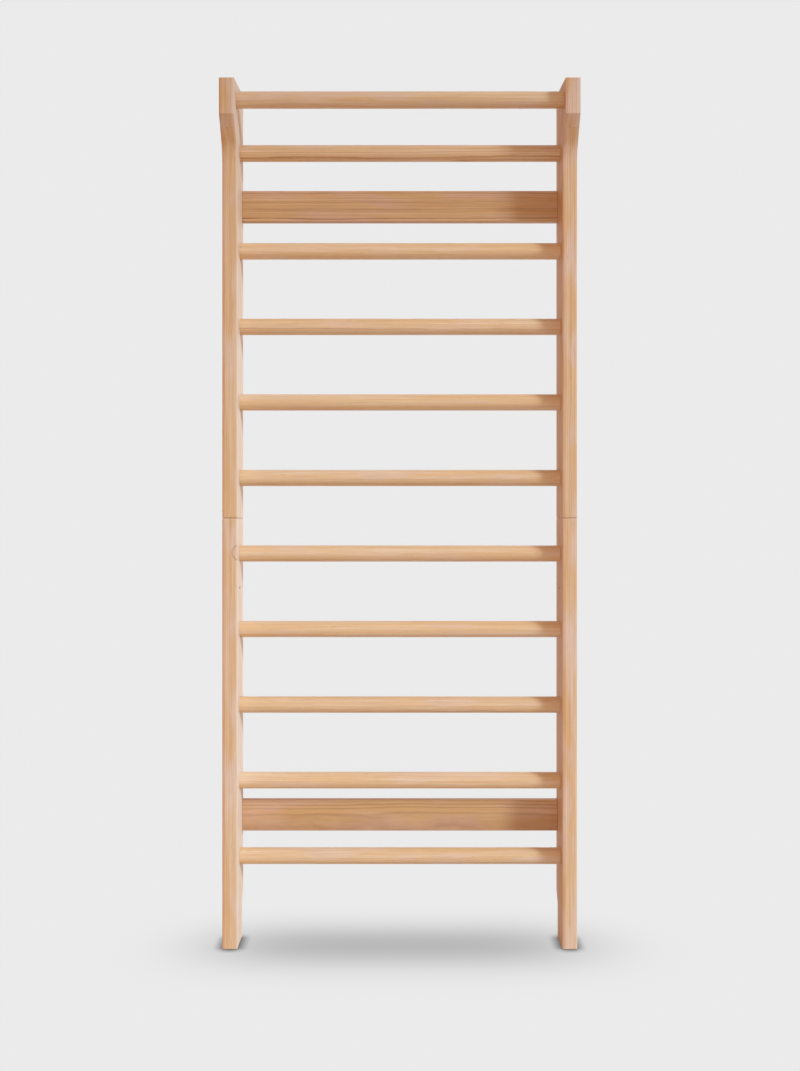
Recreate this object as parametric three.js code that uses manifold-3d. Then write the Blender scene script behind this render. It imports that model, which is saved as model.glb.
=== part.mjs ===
// Climbing frame of the wall-bar kind, in solid pine, in millimetres with +Z up.
// Two stiles, each split at mid height, hold eleven round rungs and two wall boards. X runs across the
// frame, -Y is the climber's side and +Y the wall. The origin is on the floor, in the middle of the
// frame's width and of its depth.

import * as THREE from 'three';
import { mergeVertices } from 'three/addons/utils/BufferGeometryUtils.js';
import Module from 'manifold-3d';

const wasm = await Module();
wasm.setup();

// Overall sizes
const WIDTH = 903;
const HEIGHT = 2212.5;
const STILE_DEPTH = 120;
const STILE_THICKNESS = 38;

// The nose: the top of each stile stands forward to carry the first rung clear of the others
const NOSE_REACH = 60;
const TOP_FALL = 16;
const NOSE_FACE_HEIGHT = 89.5;
const NOSE_SLOPE_HEIGHT = 81;
const NECK_RADIUS = 90;

// The foot: cut back behind, to stand over a skirting board
const SKIRTING_DEPTH = 24;
const SKIRTING_HEIGHT = 94;
const SKIRTING_SLOPE_HEIGHT = 17;
const SKIRTING_RADIUS = 28;

// Rounding of the stiles' and boards' edges, and how much rounder a stile's corners are, also at the joint
const EDGE_RADIUS = 2;
const CORNER_MORE = 0.5;
const JOINT_CORNER_MORE = 2;

// Rungs, numbered from the top. A drop is measured down from the front edge of the stiles' top, a setback
// back from the face in front. The rungs from the first even one down to the lowest are evenly spaced.
const RUNG_COUNT = 11;
const RUNG_DIAMETER = 42;
const FIRST_RUNG_DROP = 39.5;
const FIRST_RUNG_SETBACK = 52;
const SECOND_RUNG_DROP = 153;
const SECOND_RUNG_SETBACK = 66;
const FIRST_EVEN_RUNG = 3;
const EVEN_RUNG_DROP = 408.4;
const LOWEST_RUNG_HEIGHT = 222;
const RUNG_SETBACK = 60;

// Wall boards, flush with the back of the stiles
const BOARD_HEIGHT = 80;
const BOARD_THICKNESS = 25;
const UPPER_BOARD_DROP = 282;
const LOWER_BOARD_HEIGHT = 317.5;

// Joint at mid height, above the rung of the number given: a steel tie rod and two beech dowels in each
// stile, and one locking screw near the lower end of the rod, whose head stands out of the inner face.
// The rod passes in front of the rungs' axes, clear of their screws.
const JOINT_RUNG = 7;
const JOINT_RISE = 91.7;
const ROD_LENGTH = 400;
const ROD_DIAMETER = 8;
const ROD_OFFSET = 10;
const DOWEL_LENGTH = 60;
const DOWEL_DIAMETER = 10;
const DOWEL_SETBACK = 22;
const LOCK_SCREW_RISE = 20.2;
const LOCK_SCREW_LENGTH = 22;
const LOCK_SCREW_SHANK = 3.5;
const LOCK_SCREW_HEAD = 5;
const LOCK_SCREW_HEAD_LENGTH = 2.5;
const LOCK_SCREW_KEY = 2.5;
const LOCK_SCREW_KEY_DEPTH = 1.5;
const LOCK_SCREW_STAND = 0.8;

// Screws through the stiles into the ends of the rungs and boards
const RUNG_SCREW_LENGTH = 70;
const BOARD_SCREW_LENGTH = 80;
const BOARD_SCREW_SPACING = 44;
const SCREW_SHANK = 6;
const SCREW_HEAD = 10;
const SCREW_HEAD_LENGTH = 4;
const SCREW_KEY = 4;
const SCREW_KEY_DEPTH = 2.5;
const SCREW_SINK = 1;
const SCREW_TIP = 5;

// Gap between a piece and what it sits in, the wood left between a rung's socket and the rod's bore, and
// how far a cutter runs past a face
const CLEARANCE = 0.3;
const SOCKET_WEB = 1.7;
const OVERRUN = 5;

// Steps of round shapes
const CORNER_STEPS = 3;
const SWEEP_STEPS = 7;
const EDGE_STEPS = 2;
const RUNG_SIDES = 28;
const SMALL_SIDES = 12;
const SCREW_SIDES = 10;
const KEY_SIDES = 6;

// Places worked out from the sizes above
const NOSE_Y = -(STILE_DEPTH + NOSE_REACH) / 2;
const FRONT_Y = NOSE_Y + NOSE_REACH;
const BACK_Y = FRONT_Y + STILE_DEPTH;
const CORNER_RADIUS = EDGE_RADIUS + CORNER_MORE;
const JOINT_CORNER_RADIUS = EDGE_RADIUS + JOINT_CORNER_MORE;
const STILE_X = (WIDTH - STILE_THICKNESS) / 2;
const INNER_GAP = WIDTH - 2 * STILE_THICKNESS;
const SOCKET_DEPTH = (STILE_THICKNESS - ROD_DIAMETER) / 2 - CLEARANCE - SOCKET_WEB;
const RUNG_LENGTH = INNER_GAP + 2 * (SOCKET_DEPTH - CLEARANCE);
const FRONT_TOP = HEIGHT - TOP_FALL;
const EVEN_SPAN = FRONT_TOP - EVEN_RUNG_DROP - LOWEST_RUNG_HEIGHT;
const RUNG_PITCH = EVEN_SPAN / (RUNG_COUNT - FIRST_EVEN_RUNG);
const BOARD_Y = BACK_Y - BOARD_THICKNESS / 2;
const JOINT_HEIGHT = LOWEST_RUNG_HEIGHT + RUNG_PITCH * (RUNG_COUNT - JOINT_RUNG) + JOINT_RISE;
const ROD_Y = FRONT_Y + RUNG_SETBACK - ROD_OFFSET;
const LOCK_SCREW_HEIGHT = JOINT_HEIGHT - ROD_LENGTH / 2 + LOCK_SCREW_RISE;

const pine = { color: 0xd9ac7e, roughness: 0.62, metalness: 0 };
const rungPine = { color: 0xcf9c69, roughness: 0.5, metalness: 0 };
const boardPine = { color: 0xcfa376, roughness: 0.62, metalness: 0 };
const beech = { color: 0xd8b48c, roughness: 0.7, metalness: 0 };
const zincSteel = { color: 0xb9bcc0, roughness: 0.35, metalness: 0.9 };
const brownSteel = { color: 0x6a392b, roughness: 0.5, metalness: 0.9 };

// Geometry with shared vertices merged and the collapsed triangles at a pole dropped
function closed(geometry) {
  const bare = geometry.clone();
  bare.deleteAttribute('normal');
  bare.deleteAttribute('uv');
  const merged = mergeVertices(bare);
  const corners = merged.index.array;
  const kept = [];
  for (let i = 0; i < corners.length; i += 3) {
    const [a, b, c] = corners.slice(i, i + 3);
    if (a !== b && b !== c && c !== a) kept.push(a, b, c);
  }
  merged.setIndex(kept);
  return merged;
}

function twoDigits(number) {
  return String(number).padStart(2, '0');
}

function toSolid(geometry) {
  const merged = closed(geometry);
  const vertProperties = new Float32Array(merged.attributes.position.array);
  const triVerts = new Uint32Array(merged.index.array);
  return new wasm.Manifold(new wasm.Mesh({ numProp: 3, vertProperties, triVerts }));
}

function toGeometry(solid) {
  const mesh = solid.getMesh();
  const geometry = new THREE.BufferGeometry();
  geometry.setAttribute('position', new THREE.BufferAttribute(mesh.vertProperties, 3));
  geometry.setIndex(new THREE.BufferAttribute(mesh.triVerts, 1));
  return geometry;
}

// The blank with every cutter taken out of it
function cut(blank, cutters) {
  let solid = toSolid(blank);
  for (const cutter of cutters) solid = solid.subtract(toSolid(cutter));
  return toGeometry(solid);
}

// Outline with each corner [y, z, radius, steps] rounded by an arc that touches both of its sides. An
// arc is limited to half of the shorter side.
function roundedOutline(corners) {
  const points = [];
  corners.forEach(([y, z, radius, steps], i) => {
    const corner = new THREE.Vector2(y, z);
    const [beforeY, beforeZ] = corners.at(i - 1);
    const [afterY, afterZ] = corners[(i + 1) % corners.length];
    const back = new THREE.Vector2(beforeY, beforeZ).sub(corner);
    const on = new THREE.Vector2(afterY, afterZ).sub(corner);
    const room = Math.min(back.length(), on.length()) / 2;
    const turn = Math.PI - Math.acos(back.normalize().dot(on.normalize()));
    const tangent = Math.min(radius * Math.tan(turn / 2), room);
    const start = corner.clone().addScaledVector(back, tangent);
    const away = tangent / Math.sin(turn / 2);
    const centre = corner.clone().addScaledVector(back.clone().add(on).normalize(), away);
    const sense = Math.sign(on.cross(back));
    for (let step = 0; step <= steps; step += 1) {
      points.push(start.clone().rotateAround(centre, sense * turn * step / steps));
    }
  });
  return points;
}

// A board with the given side outline in Y and Z, centred on X = 0, its side edges rounded by edge
function board(corners, thickness, edge) {
  const geometry = new THREE.ExtrudeGeometry(new THREE.Shape(roundedOutline(corners)), {
    depth: thickness - 2 * edge,
    bevelEnabled: edge > 0,
    bevelThickness: edge,
    bevelSize: edge,
    bevelOffset: -edge,
    bevelSegments: EDGE_STEPS,
  });
  geometry.translate(0, 0, edge - thickness / 2);
  const alongX = new THREE.Vector3(1, 0, 0);
  const alongY = new THREE.Vector3(0, 1, 0);
  const alongZ = new THREE.Vector3(0, 0, 1);
  return geometry.applyMatrix4(new THREE.Matrix4().makeBasis(alongY, alongZ, alongX));
}

// A round bar or hole along X from one X to another, at the given Y and Z
function barAlongX(diameter, fromX, toX, y, z, sides) {
  const bar = new THREE.CylinderGeometry(diameter / 2, diameter / 2, Math.abs(toX - fromX), sides);
  bar.rotateZ(Math.PI / 2);
  return bar.translate((fromX + toX) / 2, y, z);
}

// A round bar or hole along Z from one Z to another, at the given Y and X = 0
function barAlongZ(diameter, fromZ, toZ, y) {
  const bar = new THREE.CylinderGeometry(diameter / 2, diameter / 2, toZ - fromZ, SMALL_SIDES);
  bar.rotateX(Math.PI / 2);
  return bar.translate(0, y, (fromZ + toZ) / 2);
}

// A cylinder-head screw with a hex key recess: the head's outer face at X = 0, the tip towards +X
function screw({ shank, head, headLength, length, key, keyDepth }) {
  const profile = [
    new THREE.Vector2(0, 0),
    new THREE.Vector2(head / 2, 0),
    new THREE.Vector2(head / 2, headLength),
    new THREE.Vector2(shank / 2, headLength),
    new THREE.Vector2(shank / 2, length - SCREW_TIP),
    new THREE.Vector2(0, length),
  ];
  const body = new THREE.LatheGeometry(profile, SCREW_SIDES).rotateZ(-Math.PI / 2);
  const recess = barAlongX(key / Math.cos(Math.PI / KEY_SIDES), -OVERRUN, keyDepth, 0, 0, KEY_SIDES);
  return cut(body, [recess]);
}

// Where each rung sits: its number, and the Y and Z of its axis. The first two have their own places.
const ownPlaces = {
  1: { y: NOSE_Y + FIRST_RUNG_SETBACK, z: FRONT_TOP - FIRST_RUNG_DROP },
  2: { y: FRONT_Y + SECOND_RUNG_SETBACK, z: FRONT_TOP - SECOND_RUNG_DROP },
};
const rungs = [];
for (let number = 1; number <= RUNG_COUNT; number += 1) {
  const evenHeight = LOWEST_RUNG_HEIGHT + RUNG_PITCH * (RUNG_COUNT - number);
  rungs.push({ number, y: FRONT_Y + RUNG_SETBACK, z: evenHeight, ...ownPlaces[number] });
}

const boards = [
  { level: 'upper', y: BOARD_Y, z: FRONT_TOP - UPPER_BOARD_DROP },
  { level: 'lower', y: BOARD_Y, z: LOWER_BOARD_HEIGHT },
];

const dowelPlaces = [FRONT_Y + DOWEL_SETBACK, BACK_Y - DOWEL_SETBACK];

// The two halves of a stile, as side outlines that run anticlockwise with the wall on the right
const halves = {
  upper: {
    holds: (z) => z > JOINT_HEIGHT,
    outline: [
      [FRONT_Y, JOINT_HEIGHT + CLEARANCE / 2, JOINT_CORNER_RADIUS, CORNER_STEPS],
      [BACK_Y, JOINT_HEIGHT + CLEARANCE / 2, JOINT_CORNER_RADIUS, CORNER_STEPS],
      [BACK_Y, HEIGHT, CORNER_RADIUS, CORNER_STEPS],
      [NOSE_Y, FRONT_TOP, CORNER_RADIUS, CORNER_STEPS],
      [NOSE_Y, FRONT_TOP - NOSE_FACE_HEIGHT, CORNER_RADIUS, CORNER_STEPS],
      [FRONT_Y, FRONT_TOP - NOSE_FACE_HEIGHT - NOSE_SLOPE_HEIGHT, NECK_RADIUS, SWEEP_STEPS],
    ],
  },
  lower: {
    holds: (z) => z < JOINT_HEIGHT,
    outline: [
      [FRONT_Y, 0, CORNER_RADIUS, CORNER_STEPS],
      [BACK_Y - SKIRTING_DEPTH, 0, CORNER_RADIUS, CORNER_STEPS],
      [BACK_Y - SKIRTING_DEPTH, SKIRTING_HEIGHT, SKIRTING_RADIUS, SWEEP_STEPS],
      [BACK_Y, SKIRTING_HEIGHT + SKIRTING_SLOPE_HEIGHT, SKIRTING_RADIUS, SWEEP_STEPS],
      [BACK_Y, JOINT_HEIGHT - CLEARANCE / 2, JOINT_CORNER_RADIUS, CORNER_STEPS],
      [FRONT_Y, JOINT_HEIGHT - CLEARANCE / 2, JOINT_CORNER_RADIUS, CORNER_STEPS],
    ],
  },
};

// Clearance hole for a screw that enters at the outer face of the stile. In the stile's own frame the
// outer face is at side * STILE_THICKNESS / 2.
function screwHole(side, y, z) {
  const outer = side * STILE_THICKNESS / 2;
  const seat = outer - side * (SCREW_SINK + SCREW_HEAD_LENGTH + CLEARANCE);
  return [
    barAlongX(SCREW_SHANK + 2 * CLEARANCE, outer, -outer - side * OVERRUN, y, z, SCREW_SIDES),
    barAlongX(SCREW_HEAD + 2 * CLEARANCE, outer + side * OVERRUN, seat, y, z, SCREW_SIDES),
  ];
}

// Blind socket for a rung, open at the inner face
function rungSocket(side, y, z) {
  const inner = -side * STILE_THICKNESS / 2;
  const floor = inner + side * SOCKET_DEPTH;
  return barAlongX(RUNG_DIAMETER + 2 * CLEARANCE, inner - side * OVERRUN, floor, y, z, RUNG_SIDES);
}

// Bores of the mid joint, as seen by either half, since both lie across the joint
function jointBores() {
  const reach = ROD_LENGTH / 2 + CLEARANCE;
  const dowelReach = DOWEL_LENGTH / 2 + CLEARANCE;
  const rodBore = ROD_DIAMETER + 2 * CLEARANCE;
  const dowelBore = DOWEL_DIAMETER + 2 * CLEARANCE;
  return [
    barAlongZ(rodBore, JOINT_HEIGHT - reach, JOINT_HEIGHT + reach, ROD_Y),
    ...dowelPlaces.map((y) => (
      barAlongZ(dowelBore, JOINT_HEIGHT - dowelReach, JOINT_HEIGHT + dowelReach, y)
    )),
  ];
}

// Hole for the locking screw: from the inner face to the rod's bore
function lockScrewHole(side) {
  const inner = -side * STILE_THICKNESS / 2;
  const seat = inner + side * (LOCK_SCREW_HEAD_LENGTH - LOCK_SCREW_STAND + CLEARANCE);
  const end = inner + side * (LOCK_SCREW_LENGTH - LOCK_SCREW_STAND + CLEARANCE);
  const z = LOCK_SCREW_HEIGHT;
  return [
    barAlongX(LOCK_SCREW_HEAD + 2 * CLEARANCE, inner - side * OVERRUN, seat, ROD_Y, z, SMALL_SIDES),
    barAlongX(LOCK_SCREW_SHANK + 2 * CLEARANCE, inner, end, ROD_Y, z, SMALL_SIDES),
  ];
}

// Y and Z of the screws that hold one board at one end
function boardScrewPlaces({ y, z }) {
  return [{ y, z: z - BOARD_SCREW_SPACING / 2 }, { y, z: z + BOARD_SCREW_SPACING / 2 }];
}

function stileHalf(side, level) {
  const half = halves[level];
  const held = rungs.filter(({ z }) => half.holds(z));
  const screwed = [...held, ...boards.filter(({ z }) => half.holds(z)).flatMap(boardScrewPlaces)];
  const cutters = [
    ...held.map(({ y, z }) => rungSocket(side, y, z)),
    ...screwed.flatMap(({ y, z }) => screwHole(side, y, z)),
    ...jointBores(),
    ...(half.holds(LOCK_SCREW_HEIGHT) ? lockScrewHole(side) : []),
  ];
  return cut(board(half.outline, STILE_THICKNESS, EDGE_RADIUS), cutters);
}

// Pilot hole in the end of a rung or board, for a screw whose head sits in the stile. X = 0 is the
// middle of the frame.
function pilotHole(side, length, y, z) {
  const tip = side * (WIDTH / 2 - SCREW_SINK - length - CLEARANCE);
  return barAlongX(SCREW_SHANK + 2 * CLEARANCE, tip, side * WIDTH / 2, y, z, SCREW_SIDES);
}

function rung() {
  const bar = barAlongX(RUNG_DIAMETER, -RUNG_LENGTH / 2, RUNG_LENGTH / 2, 0, 0, RUNG_SIDES);
  return cut(bar, [-1, 1].map((side) => pilotHole(side, RUNG_SCREW_LENGTH, 0, 0)));
}

function wallBoard() {
  const corners = [[-1, -1], [1, -1], [1, 1], [-1, 1]].map(([toWall, up]) => [
    toWall * BOARD_THICKNESS / 2, up * BOARD_HEIGHT / 2, EDGE_RADIUS, CORNER_STEPS,
  ]);
  const blank = board(corners, INNER_GAP - 2 * CLEARANCE, 0);
  const places = boardScrewPlaces({ y: 0, z: 0 });
  const holes = [-1, 1].flatMap((side) => places.map(({ y, z }) => (
    pilotHole(side, BOARD_SCREW_LENGTH, y, z)
  )));
  return cut(blank, holes);
}

const rungScrew = screw({
  shank: SCREW_SHANK,
  head: SCREW_HEAD,
  headLength: SCREW_HEAD_LENGTH,
  length: RUNG_SCREW_LENGTH,
  key: SCREW_KEY,
  keyDepth: SCREW_KEY_DEPTH,
});

const boardScrew = screw({
  shank: SCREW_SHANK,
  head: SCREW_HEAD,
  headLength: SCREW_HEAD_LENGTH,
  length: BOARD_SCREW_LENGTH,
  key: SCREW_KEY,
  keyDepth: SCREW_KEY_DEPTH,
});

const lockScrew = screw({
  shank: LOCK_SCREW_SHANK,
  head: LOCK_SCREW_HEAD,
  headLength: LOCK_SCREW_HEAD_LENGTH,
  length: LOCK_SCREW_LENGTH,
  key: LOCK_SCREW_KEY,
  keyDepth: LOCK_SCREW_KEY_DEPTH,
});

// The tie rod, with the cross hole that the locking screw enters
function tieRod() {
  const rod = barAlongZ(ROD_DIAMETER, JOINT_HEIGHT - ROD_LENGTH / 2, JOINT_HEIGHT + ROD_LENGTH / 2, ROD_Y);
  const past = ROD_DIAMETER / 2 + OVERRUN;
  const hole = LOCK_SCREW_SHANK + 2 * CLEARANCE;
  return cut(rod, [barAlongX(hole, -past, past, ROD_Y, LOCK_SCREW_HEIGHT, SMALL_SIDES)]);
}

function dowel(y) {
  return barAlongZ(DOWEL_DIAMETER, JOINT_HEIGHT - DOWEL_LENGTH / 2, JOINT_HEIGHT + DOWEL_LENGTH / 2, y);
}

function part(name, geometry, finish) {
  const mesh = new THREE.Mesh(closed(geometry), new THREE.MeshStandardMaterial(finish));
  mesh.name = name;
  return mesh;
}

// A screw in a stile's frame: its head's outer face at the given X, its tip towards +X or -X
function placedScrew(name, geometry, finish, headX, towards, y, z) {
  const mesh = part(name, geometry, finish);
  mesh.position.set(headX, y, z);
  if (towards < 0) mesh.rotation.z = Math.PI;
  return mesh;
}

const frame = new THREE.Group();

for (const [sideName, side] of [['left', -1], ['right', 1]]) {
  const stile = new THREE.Group();
  stile.position.x = side * STILE_X;
  const sunkHead = side * (STILE_THICKNESS / 2 - SCREW_SINK);
  const standingHead = -side * (STILE_THICKNESS / 2 + LOCK_SCREW_STAND);
  for (const level of Object.keys(halves)) {
    stile.add(part(`stile_${sideName}_${level}`, stileHalf(side, level), pine));
  }
  for (const { number, y, z } of rungs) {
    const name = `rung_screw_${sideName}_${twoDigits(number)}`;
    stile.add(placedScrew(name, rungScrew, zincSteel, sunkHead, -side, y, z));
  }
  for (const plank of boards) {
    boardScrewPlaces(plank).forEach(({ y, z }, i) => {
      const name = `board_screw_${sideName}_${plank.level}_${i + 1}`;
      stile.add(placedScrew(name, boardScrew, zincSteel, sunkHead, -side, y, z));
    });
  }
  stile.add(part(`joint_rod_${sideName}`, tieRod(), zincSteel));
  stile.add(part(`joint_dowel_${sideName}_front`, dowel(dowelPlaces[0]), beech));
  stile.add(part(`joint_dowel_${sideName}_back`, dowel(dowelPlaces[1]), beech));
  const lockName = `joint_lock_screw_${sideName}`;
  stile.add(placedScrew(lockName, lockScrew, brownSteel, standingHead, side, ROD_Y, LOCK_SCREW_HEIGHT));
  frame.add(stile);
}

for (const { number, y, z } of rungs) {
  const bar = part(`rung_${twoDigits(number)}`, rung(), rungPine);
  bar.position.set(0, y, z);
  frame.add(bar);
}

for (const { level, y, z } of boards) {
  const plank = part(`wall_board_${level}`, wallBoard(), boardPine);
  plank.position.set(0, y, z);
  frame.add(plank);
}

export default frame;
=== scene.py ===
"""Wall bars in solid pine: two stiles in two halves each, eleven round rungs and two wall boards.

The frame is in metres, +Z up, -Y the climber's side. Sizes below are in millimetres, and every mesh is
worked out in millimetres and turned to metres as it is made.
"""

import math

import bpy
import numpy as np
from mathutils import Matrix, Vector, geometry


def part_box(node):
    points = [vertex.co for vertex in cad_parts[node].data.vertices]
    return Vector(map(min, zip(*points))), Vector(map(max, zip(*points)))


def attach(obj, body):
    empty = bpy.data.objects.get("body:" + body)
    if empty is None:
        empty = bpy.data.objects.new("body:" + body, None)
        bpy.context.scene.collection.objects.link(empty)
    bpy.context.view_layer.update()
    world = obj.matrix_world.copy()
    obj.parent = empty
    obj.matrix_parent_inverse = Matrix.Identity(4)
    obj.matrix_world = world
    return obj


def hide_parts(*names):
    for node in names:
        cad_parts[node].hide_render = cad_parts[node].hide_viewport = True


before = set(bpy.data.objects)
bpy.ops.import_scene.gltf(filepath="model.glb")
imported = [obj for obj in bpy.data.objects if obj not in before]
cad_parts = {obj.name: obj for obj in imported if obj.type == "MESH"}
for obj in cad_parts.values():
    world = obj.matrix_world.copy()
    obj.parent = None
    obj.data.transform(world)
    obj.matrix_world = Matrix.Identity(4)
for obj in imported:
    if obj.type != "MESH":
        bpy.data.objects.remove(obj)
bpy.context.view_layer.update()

MM = 0.001
SIDES = {"left": -1, "right": 1}
ROOT = "root"

# Stiles
STILE_DEPTH = 120
STILE_THICKNESS = 38
WIDTH = 903
HEIGHT = 2212.5
TOP_FALL = 16
NOSE_REACH = 60
NOSE_FACE_HEIGHT = 89.5
NOSE_SLOPE_HEIGHT = 81
NECK_RADIUS = 90
SKIRTING_DEPTH = 24
SKIRTING_HEIGHT = 94
SKIRTING_SLOPE_HEIGHT = 17
SKIRTING_RADIUS = 28
JOINT_HEIGHT = 1096.75
JOINT_GAP = 0.3
CORNER_RADIUS = 2.5
JOINT_CORNER_RADIUS = 4
EDGE_RADIUS = 2

# Rungs, boards and screws
SOCKET_DEPTH = 13
SOCKET_CLEARANCE = 0.3
RUNG_END_EASE = 1.2
RUNG_SCREW_LENGTH = 70
BOARD_EDGE_RADIUS = 2
BOARD_END_EASE = 0.6
BOARD_SCREW_LENGTH = 80
BOARD_SCREW_SPACING = 44
SCREW_SHANK = 6
SCREW_HEAD = 10
SCREW_HEAD_LENGTH = 4
SCREW_HEAD_ROUND = 0.6
SCREW_KEY = 4
SCREW_KEY_DEPTH = 2.5
SCREW_SINK = 1
SCREW_TIP = 5
SCREW_TIP_SHARE = 0.25
LOCK_SCREW_LENGTH = 22
LOCK_SCREW_SHANK = 3.5
LOCK_SCREW_HEAD = 5
LOCK_SCREW_HEAD_LENGTH = 2.5
LOCK_SCREW_KEY = 2.5
LOCK_SCREW_KEY_DEPTH = 1.5
LOCK_SCREW_STAND = 0.8
HOLE_CLEARANCE = 0.3
HOLE_RIM = 0.5

# Steps of round shapes, and the narrow flat strip that keeps a flat face's shading flat beside a round
ARC_STEP = math.radians(7.5)
EDGE_STEPS = 6
RIM_STEPS = 3
ROUND_SIDES = 72
SMALL_SIDES = 36
STRIP = 0.15
WORN_RADIUS = 10
WOOD_SMOOTH_BELOW = math.radians(50)
STEEL_SMOOTH_BELOW = math.radians(35)
MERGE_DISTANCE = 1e-6
HEX_TURN = math.pi / 3
KEY_ROWS = 2
AXIS_X, AXIS_Z = 0, 2

NOSE_Y = -(STILE_DEPTH + NOSE_REACH) / 2
FRONT_Y = NOSE_Y + NOSE_REACH
BACK_Y = FRONT_Y + STILE_DEPTH
FRONT_TOP = HEIGHT - TOP_FALL
NOSE_FOOT = FRONT_TOP - NOSE_FACE_HEIGHT
INNER_X = WIDTH / 2 - STILE_THICKNESS


def arc(radius, start, end, steps):
    """Points on a part circle about zero: the radius times cosine and sine of evenly spaced angles."""
    angles = np.linspace(start, end, steps + 1)
    return radius * np.column_stack([np.cos(angles), np.sin(angles)])


def worn(steps):
    """How far a rounded edge is worn at each of its steps: the sine from 0 to a half turn."""
    return np.sin(np.linspace(0, math.pi, steps + 1))


def rounded_outline(corners):
    """Outline in Y and Z with each corner (y, z, radius) rounded, its outward normals and its wear.

    Each corner is an arc that touches both sides: its centre lies on the bisector, and its points are the
    centre plus the radius times the unit normal, which turns evenly from one side's normal to the other's.
    A strip of the side stands before and after it. The corners run anticlockwise.
    """
    spots = np.array([corner[:2] for corner in corners], float)
    sides = np.roll(spots, -1, axis=0) - spots
    sides /= np.linalg.norm(sides, axis=1)[:, None]
    normals = np.column_stack([sides[:, 1], -sides[:, 0]])
    points, outward, wear = [], [], []
    for index, (y, z, radius) in enumerate(corners):
        before, after = normals[index - 1], normals[index]
        first = math.atan2(before[1], before[0])
        turn = math.atan2(before[0] * after[1] - before[1] * after[0], before @ after)
        steps = max(2, math.ceil(abs(turn) / ARC_STEP))
        unit = arc(1, first, first + turn, steps)
        sense = math.copysign(1, turn)
        centre = np.array([y, z]) - sense * radius * (before + after) / (1 + before @ after)
        curve = centre + sense * radius * unit
        points += [curve[0] - STRIP * sides[index - 1], *curve, curve[-1] + STRIP * sides[index]]
        outward += [before, *unit, after]
        wear += [0, *(worn(steps) * (radius < WORN_RADIUS)), 0]
    return np.array(points), np.array(outward), np.array(wear)


class Surface:
    """Vertices and faces of one piece, gathered in millimetres, each part a grid or a flat cap."""

    def __init__(self):
        self.points = np.empty((0, 3))
        self.wear = np.empty(0)
        self.faces = []

    def grid(self, rows, flip=False, wear=None):
        """Adds rows of points, each row a closed ring, with a quad between each pair of neighbours.

        The faces point outwards when the rings run anticlockwise as seen from the last row's side.
        """
        rows = np.asarray(rows)
        count, around = rows.shape[:2]
        numbers = np.arange(count * around).reshape(count, around) + len(self.points)
        self.points = np.vstack([self.points, rows.reshape(-1, 3)])
        self.wear = np.append(self.wear, np.zeros(numbers.size) if wear is None else wear)
        low, high = numbers[:-1], numbers[1:]
        quads = np.stack([low, np.roll(low, -1, axis=1), np.roll(high, -1, axis=1), high], axis=-1)
        quads = quads.reshape(-1, quads.shape[-1])
        self.faces.extend((quads[:, ::-1] if flip else quads).tolist())
        return numbers

    def disc(self, ring, flip=False):
        """One flat many-sided face that closes a ring of point numbers."""
        ring = list(ring)
        self.faces.append(ring[::-1] if flip else ring)

    def cap(self, rings, axes, flip=False):
        """A flat face with round holes: triangles between an outer ring and the rings inside it.

        The rings are point numbers, and axes names the two coordinates that the face spans. A triangle
        with all its corners on one inner ring lies in that hole, and is left out.
        """
        numbers = np.concatenate(rings)
        ring_of = np.repeat(np.arange(len(rings)), [len(ring) for ring in rings])
        flat = [Vector(point) for point in self.points[numbers][:, axes]]
        edges, first = [], 0
        for ring in rings:
            around = np.arange(len(ring))
            edges.extend(zip((first + around).tolist(), (first + np.roll(around, -1)).tolist()))
            first += len(ring)
        found = geometry.delaunay_2d_cdt(flat, edges, [], 1, MERGE_DISTANCE)
        came_from = [origins[0] for origins in found[3]]
        corners = np.array([[came_from[corner] for corner in face] for face in found[2]])
        rings_met = ring_of[corners]
        in_hole = (rings_met[:, 0] > 0) & (rings_met == rings_met[:, :1]).all(axis=1)
        triangles = numbers[corners[~in_hole]]
        self.faces.extend((triangles[:, ::-1] if flip else triangles).tolist())


def finished(surface, name, material, replaced, smooth_below, timber=None):
    """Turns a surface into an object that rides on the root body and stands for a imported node.

    timber, for wood, is what the board says of each point: a function from points to their place in the
    log (along the grain, away from the pith and sideways), and three shares that hold for the whole
    piece: how light it is, how rosy, and how strong its ring lines are.
    """
    mesh = bpy.data.meshes.new(name)
    mesh.from_pydata((surface.points * MM).tolist(), [], surface.faces)
    mesh.update()
    mesh.polygons.foreach_set("use_smooth", np.ones(len(mesh.polygons), bool))
    mesh.set_sharp_from_angle(angle=smooth_below)
    if timber is not None:
        log, shares = timber
        places = mesh.attributes.new("log", "FLOAT_VECTOR", "POINT")
        places.data.foreach_set("vector", (log(surface.points) * MM).astype(np.float32).ravel())
        tones = mesh.attributes.new("timber", "FLOAT_VECTOR", "POINT")
        tones.data.foreach_set("vector", np.tile(np.float32(shares), len(surface.points)))
        edges = mesh.attributes.new("wear", "FLOAT", "POINT")
        edges.data.foreach_set("value", surface.wear.astype(np.float32))
    piece = bpy.data.objects.new(name, mesh)
    bpy.context.scene.collection.objects.link(piece)
    piece.data.materials.append(material)
    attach(piece, ROOT)
    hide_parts(replaced)
    return piece


# Shapes


def edge_profile(half, radius):
    """Across a board's edge from one face to the other: (distance across, inset, wear).

    A strip on the face, a quarter circle, the flat of the edge and the same again mirrored.
    """
    turn = np.linspace(0, math.pi / 2, EDGE_STEPS + 1)
    across = np.concatenate([[half], half - radius * (1 - np.cos(turn)), [half - radius - STRIP]])
    inset = np.concatenate([[radius + STRIP], radius * (1 - np.sin(turn)), [0]])
    wear = np.concatenate([[0], worn(EDGE_STEPS), [0]])
    one = np.column_stack([-across, inset, wear])
    return np.vstack([one, one[::-1] * (-1, 1, 1)])


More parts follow.
